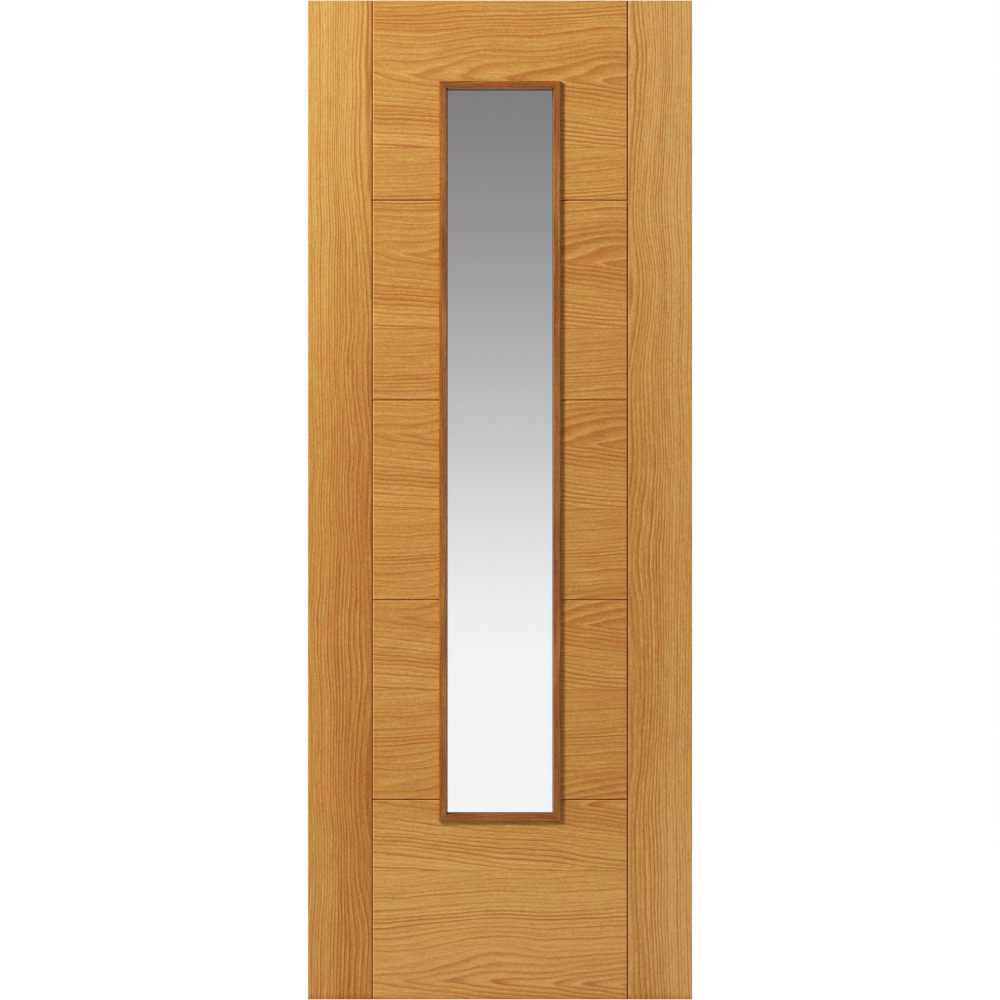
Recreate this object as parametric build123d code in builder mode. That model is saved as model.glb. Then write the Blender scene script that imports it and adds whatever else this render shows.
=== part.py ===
from build123d import *

import os

# Glazed fire door leaf: a solid core with veneered facings, V-grooved into two stiles and a ladder of
# level panels, and a tall slot of fire glass held between mitred hardwood beads.
#
# The origin is at the foot of the hinge edge, in the middle of the leaf's thickness. X runs across the
# leaf to the lock edge, Z runs up, and the front face looks along -Y. Sizes are in millimetres.

# Leaf
LEAF_HEIGHT = 1981.0
LEAF_WIDTH = 762.0
LEAF_THICKNESS = 44.0
FACING_THICKNESS = 5.0
LIPPING_THICKNESS = 8.0
ARRIS = 1.0

# Stiles and ladder panels
STILE_WIDTH = 128.0
PANEL_COUNT = 5
GROOVE_WIDTH = 5.0
GROOVE_DEPTH = 3.8

# Glazed slot, measured between the beads, and how far it runs past the lowest and highest panel joints
SIGHT_WIDTH = 210.0
SIGHT_BELOW_JOINT = 27.0
SIGHT_ABOVE_JOINT = 220.5

# Glazing beads
BEAD_WIDTH = 15.5
BEAD_LAP = 5.0
BEAD_PROUD = 7.0
BEAD_SPLAY = 2.0
BEAD_OUTER_RADIUS = 1.5
BEAD_INNER_RADIUS = 1.0

# Pane and tape
GLASS_THICKNESS = 7.0
GLASS_CLEARANCE = 3.0
TAPE_THICKNESS = 2.0
TAPE_REVEAL = 1.0
TAPE_BUTT_GAP = 0.3
SETTING_BLOCK_LENGTH = 50.0
SETTING_BLOCK_SPACING = 120.0

# Places worked out from the sizes above
FACE = LEAF_THICKNESS / 2
CORE_FACE = FACE - FACING_THICKNESS
CORE_THICKNESS = 2 * CORE_FACE
FIELD_LEFT = STILE_WIDTH
FIELD_RIGHT = LEAF_WIDTH - STILE_WIDTH
PANEL_PITCH = LEAF_HEIGHT / PANEL_COUNT
GROOVE_FLANK = GROOVE_WIDTH / 2
MIDDLE_X = LEAF_WIDTH / 2
SIGHT_SILL = PANEL_PITCH - SIGHT_BELOW_JOINT
SIGHT_HEAD = LEAF_HEIGHT - PANEL_PITCH + SIGHT_ABOVE_JOINT
SIGHT_HEIGHT = SIGHT_HEAD - SIGHT_SILL
SIGHT_MIDDLE_Z = (SIGHT_SILL + SIGHT_HEAD) / 2
BEAD_SEAT = BEAD_WIDTH - BEAD_LAP
APERTURE_WIDTH = SIGHT_WIDTH + 2 * BEAD_SEAT
APERTURE_HEIGHT = SIGHT_HEIGHT + 2 * BEAD_SEAT
APERTURE_LEFT = MIDDLE_X - APERTURE_WIDTH / 2
APERTURE_RIGHT = MIDDLE_X + APERTURE_WIDTH / 2
APERTURE_SILL = SIGHT_SILL - BEAD_SEAT
APERTURE_HEAD = SIGHT_HEAD + BEAD_SEAT
PANE_WIDTH = APERTURE_WIDTH - 2 * GLASS_CLEARANCE
PANE_HEIGHT = APERTURE_HEIGHT - 2 * GLASS_CLEARANCE
GLASS_FACE = GLASS_THICKNESS / 2
TAPE_FACE = GLASS_FACE + TAPE_THICKNESS
TAPE_WIDTH = BEAD_SEAT - GLASS_CLEARANCE + TAPE_REVEAL
PANE_SILL = APERTURE_SILL + GLASS_CLEARANCE
PANE_HEAD = APERTURE_HEAD - GLASS_CLEARANCE

# The front face looks along -Y, which is the normal of Plane.XZ, and the back face the other way
SIDES = {"front": 1, "back": -1}


def keep(part, name):
    """Labels a finished piece and writes it as a file of its own."""
    part.label = name
    export_step(part, f"parts/{name}.step")


def upright_board(left, right, sill, head, thickness):
    """A plain board standing in the middle of the leaf's thickness."""
    with BuildPart() as board:
        with BuildSketch(Plane.XZ):
            with Locations(((left + right) / 2, (sill + head) / 2)):
                Rectangle(right - left, head - sill)
        extrude(amount=thickness / 2, both=True)
    return board.part


def stile_facing(side, outer, inner):
    """A stile's veneered facing: a long strip, eased at the leaf's edge and bevelled at the groove."""
    into = 1 if inner > outer else -1
    back, front = -side * CORE_FACE, -side * FACE
    with BuildPart() as facing:
        with BuildSketch(Plane.XY):
            with BuildLine():
                Polyline(
                    (outer, back),
                    (outer, front + side * ARRIS),
                    (outer + into * ARRIS, front),
                    (inner - into * GROOVE_FLANK, front),
                    (inner, front + side * GROOVE_DEPTH),
                    (inner, back),
                    close=True,
                )
            make_face()
        extrude(amount=LEAF_HEIGHT)
    return facing.part


def panel_facing(side, number):
    """A ladder panel's veneered facing, cut round the glazed slot and bevelled at its V-grooves."""
    head = LEAF_HEIGHT - (number - 1) * PANEL_PITCH
    sill = head - PANEL_PITCH
    front = -side * FACE
    bed = front + side * GROOVE_DEPTH
    joints = []
    if number > 1:
        joints.append(head)
    if number < PANEL_COUNT:
        joints.append(sill)
    with BuildPart() as facing:
        with BuildSketch(Plane.XZ.offset(side * CORE_FACE)):
            with Locations((MIDDLE_X, (sill + head) / 2)):
                Rectangle(FIELD_RIGHT - FIELD_LEFT, PANEL_PITCH)
            with Locations((MIDDLE_X, SIGHT_MIDDLE_Z)):
                Rectangle(APERTURE_WIDTH, APERTURE_HEIGHT, mode=Mode.SUBTRACT)
        extrude(amount=side * FACING_THICKNESS)
        for line in (FIELD_LEFT, FIELD_RIGHT):
            with BuildSketch(Plane.XY.offset(sill)):
                with BuildLine():
                    Polyline(
                        (line - GROOVE_FLANK, front),
                        (line, bed),
                        (line + GROOVE_FLANK, front),
                        close=True,
                    )
                make_face()
            extrude(amount=PANEL_PITCH, mode=Mode.SUBTRACT)
        for level in joints:
            with BuildSketch(Plane.YZ.offset(FIELD_LEFT)):
                with BuildLine():
                    Polyline(
                        (front, level - GROOVE_FLANK),
                        (bed, level),
                        (front, level + GROOVE_FLANK),
                        close=True,
                    )
                make_face()
            extrude(amount=FIELD_RIGHT - FIELD_LEFT, mode=Mode.SUBTRACT)
    return facing.part


def glazing_tape(side):
    """Four butted strips of tape round one face of the pane, showing a little inside the beads."""
    across = (PANE_HEIGHT - TAPE_WIDTH) / 2
    along = (PANE_WIDTH - TAPE_WIDTH) / 2
    with BuildPart() as tape:
        with BuildSketch(Plane.XZ.offset(side * GLASS_FACE)):
            with Locations((MIDDLE_X, SIGHT_MIDDLE_Z - across), (MIDDLE_X, SIGHT_MIDDLE_Z + across)):
                Rectangle(PANE_WIDTH, TAPE_WIDTH)
            with Locations((MIDDLE_X - along, SIGHT_MIDDLE_Z), (MIDDLE_X + along, SIGHT_MIDDLE_Z)):
                Rectangle(TAPE_WIDTH, PANE_HEIGHT - 2 * (TAPE_WIDTH + TAPE_BUTT_GAP))
        extrude(amount=side * TAPE_THICKNESS)
    return tape.part


def setting_blocks():
    """The two blocks that carry the pane on the sill of the slot, hidden between the beads."""
    with BuildPart() as blocks:
        with BuildSketch(Plane.XY.offset(APERTURE_SILL)):
            with Locations((MIDDLE_X, 0)):
                with GridLocations(SETTING_BLOCK_SPACING, 0, 2, 1):
                    Rectangle(SETTING_BLOCK_LENGTH, 2 * TAPE_FACE)
        extrude(amount=GLASS_CLEARANCE)
    return blocks.part


def glazing_bead(side, outward, reach, run):
    """A lipped bead along one side of the slot, mitred at both ends.

    outward points from the slot's middle to this side, reach is how far that side is from the middle,
    and run is the length of its sight line.
    """
    normal = Vector(0, -side, 0)
    along = outward.cross(normal)
    middle = Vector(MIDDLE_X, 0, SIGHT_MIDDLE_Z) + outward * reach
    top = FACE + BEAD_PROUD
    with BuildPart() as bead:
        with BuildSketch(Plane(middle, x_dir=outward, z_dir=along)) as section:
            with BuildLine():
                Polyline(
                    (0, TAPE_FACE),
                    (BEAD_SEAT, TAPE_FACE),
                    (BEAD_SEAT, FACE),
                    (BEAD_WIDTH, FACE),
                    (BEAD_WIDTH, top),
                    (BEAD_SPLAY, top),
                    close=True,
                )
            make_face()
            inner_arris, outer_arris = section.vertices().group_by(Axis.Y)[-1].sort_by(Axis.X)
            fillet(outer_arris, BEAD_OUTER_RADIUS)
            fillet(inner_arris, BEAD_INNER_RADIUS)
        extrude(amount=run / 2 + BEAD_WIDTH, both=True)
        for end in (along, -along):
            mitre = Plane(middle + end * (run / 2), z_dir=end - outward)
            split(bisect_by=mitre, keep=Keep.BOTTOM)
    return bead.part


def main():
    """Builds every piece of the leaf and writes each to its own file."""
    os.makedirs("parts", exist_ok=True)

    # Edges and core
    hinge_core = (LIPPING_THICKNESS, FIELD_LEFT)
    lock_core = (FIELD_RIGHT, LEAF_WIDTH - LIPPING_THICKNESS)
    boards = {
        "hinge_edge_lipping": (0, LIPPING_THICKNESS, 0, LEAF_HEIGHT),
        "lock_edge_lipping": (LEAF_WIDTH - LIPPING_THICKNESS, LEAF_WIDTH, 0, LEAF_HEIGHT),
        "hinge_stile_core": (*hinge_core, 0, LEAF_HEIGHT),
        "lock_stile_core": (*lock_core, 0, LEAF_HEIGHT),
        "bottom_rail_core": (FIELD_LEFT, FIELD_RIGHT, 0, APERTURE_SILL),
        "top_rail_core": (FIELD_LEFT, FIELD_RIGHT, APERTURE_HEAD, LEAF_HEIGHT),
        "hinge_side_infill_core": (FIELD_LEFT, APERTURE_LEFT, APERTURE_SILL, APERTURE_HEAD),
        "lock_side_infill_core": (APERTURE_RIGHT, FIELD_RIGHT, APERTURE_SILL, APERTURE_HEAD),
    }
    for name, edges in boards.items():
        keep(upright_board(*edges, CORE_THICKNESS), name)

    # Facings, panel 1 at the top
    for face, side in SIDES.items():
        keep(stile_facing(side, 0, FIELD_LEFT), f"{face}_hinge_stile_facing")
        keep(stile_facing(side, LEAF_WIDTH, FIELD_RIGHT), f"{face}_lock_stile_facing")
        for number in range(1, PANEL_COUNT + 1):
            pieces = panel_facing(side, number).solids().sort_by(Axis.X)
            hands = ("",) if len(pieces) == 1 else ("_hinge_side", "_lock_side")
            for piece, hand in zip(pieces, hands):
                keep(piece, f"{face}_panel_{number}{hand}")

    # Glazing
    pane_left = APERTURE_LEFT + GLASS_CLEARANCE
    pane_right = APERTURE_RIGHT - GLASS_CLEARANCE
    keep(upright_board(pane_left, pane_right, PANE_SILL, PANE_HEAD, GLASS_THICKNESS), "fire_glass_pane")
    keep(setting_blocks(), "glazing_setting_blocks")
    bead_places = {
        "top": (Vector(0, 0, 1), SIGHT_HEIGHT / 2, SIGHT_WIDTH),
        "bottom": (Vector(0, 0, -1), SIGHT_HEIGHT / 2, SIGHT_WIDTH),
        "hinge_side": (Vector(-1, 0, 0), SIGHT_WIDTH / 2, SIGHT_HEIGHT),
        "lock_side": (Vector(1, 0, 0), SIGHT_WIDTH / 2, SIGHT_HEIGHT),
    }
    for face, side in SIDES.items():
        keep(glazing_tape(side), f"{face}_glazing_tape")
        for place, (outward, reach, run) in bead_places.items():
            keep(glazing_bead(side, outward, reach, run), f"{face}_bead_{place}")


main()
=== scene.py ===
"""Dresses a glazed fire door leaf and stands it on a pale studio floor.

The leaf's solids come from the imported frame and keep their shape. This script gives each of them a
worked finish, adds the pins that hold the glazing beads, and sets up the lights and the camera.
Lengths are in metres, in the frame's own axes: X across the leaf, Y through it, Z up.
"""

import logging
import math
from dataclasses import dataclass, replace
from enum import Enum

import bpy
from mathutils import Matrix, Vector

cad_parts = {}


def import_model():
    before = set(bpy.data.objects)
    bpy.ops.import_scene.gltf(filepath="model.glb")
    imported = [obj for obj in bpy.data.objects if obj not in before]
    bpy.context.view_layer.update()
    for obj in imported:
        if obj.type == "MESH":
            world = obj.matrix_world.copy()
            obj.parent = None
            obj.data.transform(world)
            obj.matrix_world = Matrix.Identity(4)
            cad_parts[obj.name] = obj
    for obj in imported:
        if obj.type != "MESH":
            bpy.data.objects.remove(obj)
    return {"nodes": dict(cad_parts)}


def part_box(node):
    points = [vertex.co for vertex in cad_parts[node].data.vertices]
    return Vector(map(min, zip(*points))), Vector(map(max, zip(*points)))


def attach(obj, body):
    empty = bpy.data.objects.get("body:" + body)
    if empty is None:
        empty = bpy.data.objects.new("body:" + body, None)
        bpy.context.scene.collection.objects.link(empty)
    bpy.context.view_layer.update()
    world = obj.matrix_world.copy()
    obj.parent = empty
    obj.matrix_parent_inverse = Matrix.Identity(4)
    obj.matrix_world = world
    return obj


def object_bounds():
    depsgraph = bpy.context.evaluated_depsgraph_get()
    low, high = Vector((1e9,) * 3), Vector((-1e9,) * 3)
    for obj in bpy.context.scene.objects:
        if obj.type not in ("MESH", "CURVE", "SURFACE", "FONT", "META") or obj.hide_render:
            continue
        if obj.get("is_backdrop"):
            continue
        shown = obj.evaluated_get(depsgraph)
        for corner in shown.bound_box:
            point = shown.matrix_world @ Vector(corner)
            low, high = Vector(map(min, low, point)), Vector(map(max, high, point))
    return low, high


Socket = bpy.types.NodeSocket
Source = Socket | float | tuple

log = logging.getLogger("door_leaf")

MILLIMETRE = 0.001
QUARTER_TURN = math.radians(90)
WHITE = (1.0, 1.0, 1.0, 1.0)

# The display curve: a straight toe, then a power of the value past an offset
DISPLAY_STEPS = 255
TOE_END = 0.04045
TOE_SLOPE = 12.92
CURVE_OFFSET = 0.055
CURVE_POWER = 2.4

# Sockets of the Mix node by number, because its numbers and its colours share their names
MIX_NUMBERS = (2, 3)
MIX_COLOURS = (6, 7)
MIX_COLOUR_RESULT = 2

# How far a noise's shift goes along each axis, so that no two noises line up
SHIFT_SHARES = (1.0, 0.7, 1.3)

# The hue setting that leaves a colour as it is
NO_TURN = 0.5

# Added to counts that would otherwise fall below nought
SPARE_LEAVES = 8.0
SPARE_RINGS = 400.0

# Added to a year's number, so that each chance value drawn from it is its own
SHARPNESS_DRAW = 0.71
CREST_DRAW = 0.37


class Run(Enum):
    """Which way the grain of a piece runs."""

    UPRIGHT = "Z"
    LEVEL = "X"


class Face(Enum):
    """The two faces of the leaf, with the sign of the outward direction along Y."""

    FRONT = -1
    BACK = 1

    @property
    def word(self) -> str:
        """The word that the names of this face's pieces start with."""
        return self.name.lower()


@dataclass(frozen=True)
class Tone:
    """A colour in 8-bit display values, as a paint chart gives it."""

    red: float
    green: float
    blue: float

    def linear(self) -> tuple[float, float, float, float]:
        """Turns the colour into linear light.

        Returns:
            Red, green and blue, and full cover.
        """
        light = []
        for value in (self.red, self.green, self.blue):
            share = value / DISPLAY_STEPS
            curved = ((share + CURVE_OFFSET) / (1 + CURVE_OFFSET)) ** CURVE_POWER
            light.append(share / TOE_SLOPE if share <= TOE_END else curved)
        return (*light, 1.0)


@dataclass(frozen=True)
class Fleck:
    """Soft noise: the size of its grains along each axis, a shift that sets it apart, and its octaves."""

    size: tuple[float, float, float]
    shift: float
    detail: float = 1.0


class Graph:
    """Wires a node tree one step at a time. An input is a socket or a plain value."""

    def __init__(self, tree: bpy.types.NodeTree) -> None:
        """Starts from an empty tree.

        Args:
            tree: the node tree to fill.
        """
        self.tree = tree
        self.tree.nodes.clear()

    def feed(self, target: Socket, value: Source) -> None:
        """Links a socket to an input, or sets the input to a plain value.

        Args:
            target: the input.
            value: the socket or value that it takes.
        """
        if isinstance(value, Socket):
            self.tree.links.new(value, target)
        else:
            target.default_value = value

    def node(self, kind: str, inputs: dict[str | int, Source] | None = None,
             **settings: object) -> bpy.types.Node:
        """Adds a node.

        Args:
            kind: the node's type, without its ShaderNode prefix.
            inputs: input name or number to socket or value.
            settings: the node's own properties.

        Returns:
            The new node.
        """
        made = self.tree.nodes.new("ShaderNode" + kind)
        for name, value in settings.items():
            setattr(made, name, value)
        for key, value in (inputs or {}).items():
            self.feed(made.inputs[key], value)
        return made

    def math(self, operation: str, *values: Source) -> Socket:
        """One step of arithmetic.

        Args:
            operation: the Math node's operation.
            values: its inputs, in order.

        Returns:
            The result.
        """
        made = self.node("Math", operation=operation)
        for index, value in enumerate(values):
            self.feed(made.inputs[index], value)
        return made.outputs[0]

    def choose(self, step: Socket, low: Source, high: Source) -> Socket:
        """Takes low where step is nought and high where it is one.

        Args:
            step: the choice.
            low: the value at nought.
            high: the value at one.

        Returns:
            The chosen value.
        """
        first, second = MIX_NUMBERS
        made = self.node("Mix", {0: step, first: low, second: high}, data_type="FLOAT")
        return made.outputs[0]

    def spread(self, value: Source, low: float, high: float, to_low: float, to_high: float) -> Socket:
        """Maps a band of values smoothly onto another, and holds it at both ends.

        Args:
            value: the value to map.
            low: where the band starts.
            high: where the band ends.
            to_low: the result at the start.
            to_high: the result at the end.

        Returns:
            The mapped value.
        """
        inputs = {"Value": value, "From Min": low, "From Max": high, "To Min": to_low, "To Max": to_high}
        return self.node("MapRange", inputs, interpolation_type="SMOOTHSTEP").outputs[0]

    def blend(self, factor: Source, under: Source, over: Source) -> Socket:
        """Mixes two colours.

        Args:
            factor: the share of the second.
            under: the first colour.
            over: the second colour.

        Returns:
            The mixed colour.
        """
        first, second = MIX_COLOURS
        made = self.node("Mix", {0: factor, first: under, second: over}, data_type="RGBA")
        return made.outputs[MIX_COLOUR_RESULT]

    def ramp(self, value: Source, stops: tuple[tuple[float, Tone], ...]) -> Socket:
        """Turns a value into a colour.

        Args:
            value: from nought to one.
            stops: pairs of a place and the tone there.

        Returns:
            The colour.
        """
        made = self.node("ValToRGB", {0: value})
        elements = made.color_ramp.elements
        while len(elements) < len(stops):
            elements.new(0.5)
        for element, (position, tone) in zip(elements, stops):
            element.position = position
            element.color = tone.linear()
        return made.outputs[0]

    def place(self) -> Socket:
        """The place on the piece in the frame's own axes."""
        return self.node("TexCoord").outputs["Object"]

    def axes(self, vector: Socket) -> dict[str, Socket]:
        """The parts of a vector, by the axis letter."""
        split = self.node("SeparateXYZ", {0: vector})
        return {letter: split.outputs[letter] for letter in "XYZ"}

    def vector(self, x: Source, y: Source, z: Source) -> Socket:
        """A vector put together from its parts."""
        return self.node("CombineXYZ", {"X": x, "Y": y, "Z": z}).outputs[0]

    def draw(self, number: Source) -> Socket:
        """A chance value from nought to one that is the same wherever the number is."""
        return self.node("TexWhiteNoise", {"W": number}, noise_dimensions="1D").outputs[0]

    def fleck(self, vector: Source, noise: Fleck) -> Socket:
        """Soft noise from about minus one to one.

        Args:
            vector: the place.
            noise: the size, shift and octaves of the noise.

        Returns:
            The noise.
        """
        scale = tuple(1 / length for length in noise.size)
        shift = tuple(noise.shift * share for share in SHIFT_SHARES)
        place = self.node("VectorMath", {0: vector, 1: scale, 2: shift}, operation="MULTIPLY_ADD").outputs[0]
        made = self.node("TexNoise", {"Vector": place, "Scale": 1.0, "Detail": noise.detail})
        return self.math("MULTIPLY_ADD", made.outputs[0], 2.0, -1.0)

    def two_tone(self, noise: Socket, pale: Tone, deep: Tone) -> Socket:
        """Colours soft noise from a pale tone to a deep one."""
        return self.ramp(self.math("MULTIPLY_ADD", noise, 0.5, 0.5), ((0.0, pale), (1.0, deep)))

    def coat(self, surface: bpy.types.Node, colour: Source, rough: Source, sheen: float) -> None:
        """Gives a surface shader its colour, roughness and specular level.

        Args:
            surface: the shader.
            colour: its colour.
            rough: its roughness.
            sheen: its specular level, the same all over.
        """
        self.feed(surface.inputs["Base Color"], colour)
        self.feed(surface.inputs["Roughness"], rough)
        surface.inputs["Specular IOR Level"].default_value = sheen

    def emboss(self, surface: bpy.types.Node, height: Socket, relief: float, strength: float) -> None:
        """Gives a surface shader a fine relief.

        Args:
            surface: the shader.
            height: the relief, in shares of its depth.
            relief: its depth.
            strength: how much of it shows.
        """
        bump = self.node("Bump", {"Height": height, "Distance": relief, "Strength": strength})
        self.feed(surface.inputs["Normal"], bump.outputs[0])


@dataclass(frozen=True)
class Figure:
    """How a sheet of veneer or a stick was cut from its log, which sets the pattern of its rings.

    The arches of the figure stand along one line, the heart, which runs with the grain. On its open
    side the rings are wide apart up to reach and close beyond it. On its other side they are tight.
    A sheet of several spliced leaves repeats one figure from leaf to leaf. Shade is a change of tone of the
    whole leaf, with more of it at the foot and the head of the door. End shade is the change at one side of
    the leaf, at the foot and at the head. Lean is a painted falloff of light: a change of tone from the
    start to the end of its span along the grain, deeper towards its end. Hue turns the colour, yellower
    above nought, with more of it at the foot.

    The other pairs are the places between which a change comes in. The fades of the foot, the head and
    the hue are heights up the door, the lean's span is along the grain, and the rest are measured from
    the heart.
    """

    heart: float
    wide: float
    close: float
    tight: float
    reach: float = 0.075
    tips: float = 0.093
    leaf: float = 0.0
    splice: float = 0.0
    open_side: int = 1
    sway: float = 0.007
    hump: float = 0.010
    hump_in: tuple[float, float] = (-0.03, 0.02)
    hump_out: tuple[float, float] = (0.07, 0.13)
    crinkle: float = 0.0030
    drift: float = 0.8
    round_tip: float = 0.014
    levelling: tuple[float, float] = (0.02, 0.10)
    level_off: float = 0.35
    crowding: float = 0.9
    soft_heart: float = 0.50
    quiet: float = 1.0
    quieting: tuple[float, float] = (0.12, 0.16)
    end_shade: tuple[float, float] = (0.0, 0.0)
    end_fade: tuple[float, float] = (-0.13, -0.07)
    seed: float = 0.0
    shade: float = 0.0
    shade_foot: float = 0.0
    shade_head: float = 0.0
    foot_fade: tuple[float, float] = (0.15, 0.65)
    head_fade: tuple[float, float] = (0.90, 1.85)
    # A painted falloff of light along the grain
    lean: float = 0.0
    lean_span: tuple[float, float] = (0.13, 0.63)
    hue: float = 0.0
    hue_foot: float = 0.0
    hue_fade: tuple[float, float] = (0.06, 0.24)

    def at(self, edge: float, seed_step: float) -> "Figure":
        """The same cut with its heart measured from an edge, and its seed some steps on."""
        return replace(self, heart=edge + self.heart, seed=self.seed + seed_step)


@dataclass(frozen=True)
class Timber:
    """A lacquered wood with growth rings, fibres and pores.

    Across each ring the tone deepens over its lead to the late line, and falls off over its trail to a pale
    crest. Those places are shares of the ring's width. Vigour is how strongly the faintest and the boldest
    rings show. The rings soften in the heart between heart_in, measured from it, and heart_out, in shares of
    the cut's reach. Painted shade darkens the edge at the foot of the door, where it stands on the floor.
    The noises run along the grain, then across.
    """

    cream: Tone
    pale: Tone
    warm: Tone
    deep: Tone
    rust: Tone
    pore: Tone
    pale_at: float = 0.34
    warm_at: float = 0.62
    middle_tone: float = 0.36
    late: float = 0.65
    lead: float = 0.45
    trail: float = 0.22
    shoulder_end: float = 0.97
    crest_start: float = 0.70
    crest_peak: float = 0.84
    heart_in: tuple[float, float] = (-0.012, 0.02)
    heart_out: tuple[float, float] = (0.8, 1.25)
    hump_least: tuple[float, float] = (0.2, 0.3)
    sharpness: tuple[float, float] = (1.0, 3.0)
    ring_share: float = 1.0
    vigour: tuple[float, float] = (0.25, 1.25)
    rust_share: float = 0.66
    shoulder_share: float = 0.26
    crest_share: float = 0.36
    comb_share: float = 0.22
    band_share: float = 0.20
    fibre_share: float = 0.28
    hair_share: float = 0.46
    pore_share: float = 0.30
    pore_band: tuple[float, float] = (0.30, 0.55)
    gloss: float = 0.42
    gloss_change: float = 0.05
    sheen: float = 0.22
    relief: float = 0.06 * MILLIMETRE
    relief_strength: float = 0.5
    hair_relief: float = 0.4
    pore_relief: float = -0.6
    wander: Fleck = Fleck((0.60, 0.40, 1.0), 3.1, 0.0)
    ripple: Fleck = Fleck((0.22, 0.12, 1.0), 7.7, 0.0)
    crinkle: Fleck = Fleck((0.075, 0.05, 1.0), 9.1, 1.0)
    drift: Fleck = Fleck((0.16, 1.0, 1.0), 11.3)
    crowd: Fleck = Fleck((1.6, 0.032, 1.0), 17.9)
    patch: Fleck = Fleck((0.30, 0.025, 1.0), 19.3, 2.0)
    patch_share: float = 0.8
    comb: Fleck = Fleck((0.22, 0.40, 1.0), 21.7)
    band: Fleck = Fleck((0.55, 0.045, 1.0), 23.3, 2.0)
    fibre: Fleck = Fleck((0.060, 0.0026, 1.0), 29.1, 2.0)
    hair: Fleck = Fleck((0.0055, 0.0021, 1.0), 31.7, 2.0)
    speck: Fleck = Fleck((0.010, 0.0011, 1.0), 37.3, 0.0)
    blush: Fleck = Fleck((0.050, 0.0030, 1.0), 41.3, 3.0)
    blush_share: float = 0.028
    # Painted shade along the foot of the door: how much it darkens, and how high it reaches
    foot_shade: float = 0.34
    foot_shade_height: float = 0.014
    splice_width: float = 0.0014
    splice_depth: float = 0.55
    leaf_step: float = 0.16

    def lay_out(self, graph: Graph, across: Socket, cut: Figure) -> tuple[Socket, Source, Source]:
        """Measures each place from the heart of the leaf that it lies on.

        Args:
            graph: the material's graph.
            across: the place across the grain.
            cut: how the sheet was cut.

        Returns:
            The distance from the heart, larger towards its open side, the seed of the leaf, and the
            dark line of its splice.
        """
        if not cut.leaf:
            offset = graph.math("SUBTRACT", across, cut.heart)
            return graph.math("MULTIPLY", offset, float(cut.open_side)), cut.seed, 0.0
        local = graph.math("DIVIDE", graph.math("SUBTRACT", across, cut.splice), cut.leaf)
        share = graph.math("FRACT", graph.math("ADD", local, SPARE_LEAVES))
        offset = graph.math("MULTIPLY_ADD", share, cut.leaf, -cut.heart)
        seed = graph.math("MULTIPLY_ADD", graph.math("FLOOR", local), self.leaf_step, cut.seed)
        near = graph.math("MULTIPLY", graph.math("PINGPONG", share, 0.5), cut.leaf)
        splice = graph.spread(near, 0.0, self.splice_width, self.splice_depth, 0.0)
        return graph.math("MULTIPLY", offset, float(cut.open_side)), seed, splice

    def bend(self, graph: Graph, along: Socket, offset: Socket, seed: Source, cut: Figure) -> Socket:
        """Bends the straight grain of a leaf as its log grew.

        Args:
            graph: the material's graph.
            along: the place along the grain.
            offset: the distance from the heart.
            seed: the seed of the leaf.
            cut: how the sheet was cut.

        Returns:
            The bent distance from the heart.
        """
        place = graph.vector(along, offset, seed)
        least_in, least_out = self.hump_least
        humped = graph.math("MULTIPLY", graph.spread(offset, *cut.hump_in, least_in, 1.0),
                            graph.spread(offset, *cut.hump_out, 1.0, least_out))
        ripple = graph.math("MULTIPLY", graph.fleck(place, self.ripple), humped)
        swayed = graph.math("MULTIPLY_ADD", graph.fleck(place, self.wander), cut.sway, offset)
        humps = graph.math("MULTIPLY_ADD", ripple, cut.hump, swayed)
        return graph.math("MULTIPLY_ADD", graph.fleck(place, self.crinkle), cut.crinkle, humps)

    def rings(self, graph: Graph, flow: Socket, along: Socket, offset: Socket, cut: Figure) -> Socket:
        """Counts the growth rings at each place.

        Args:
            graph: the material's graph.
            flow: the place on the bent leaf.
            along: the place along the grain.
            offset: the bent distance from the heart.
            cut: how the sheet was cut.

        Returns:
            The ring count.
        """
        squares = graph.math("MULTIPLY_ADD", offset, offset, cut.round_tip ** 2)
        radius = graph.math("SUBTRACT", graph.math("SQRT", squares), cut.round_tip)
        beyond = graph.math("MAXIMUM", graph.math("SUBTRACT", radius, cut.reach), 0.0)
        opened = graph.math("MULTIPLY", beyond, 1 / cut.close - 1 / cut.wide)
        opened = graph.math("MULTIPLY_ADD", radius, 1 / cut.wide, opened)
        side = graph.math("GREATER_THAN", offset, 0.0)
        count = graph.choose(side, graph.math("DIVIDE", radius, cut.tight), opened)
        drift = graph.math("MULTIPLY", graph.fleck(flow, self.drift), cut.drift)
        rise = graph.math("MULTIPLY_ADD", along, 1 / cut.tips, drift)
        level = graph.spread(offset, *cut.levelling, 1.0, cut.level_off)
        count = graph.math("SUBTRACT", count, graph.math("MULTIPLY", rise, level))
        count = graph.math("MULTIPLY_ADD", graph.fleck(flow, self.crowd), cut.crowding, count)
        return graph.math("ADD", count, SPARE_RINGS)

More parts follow.
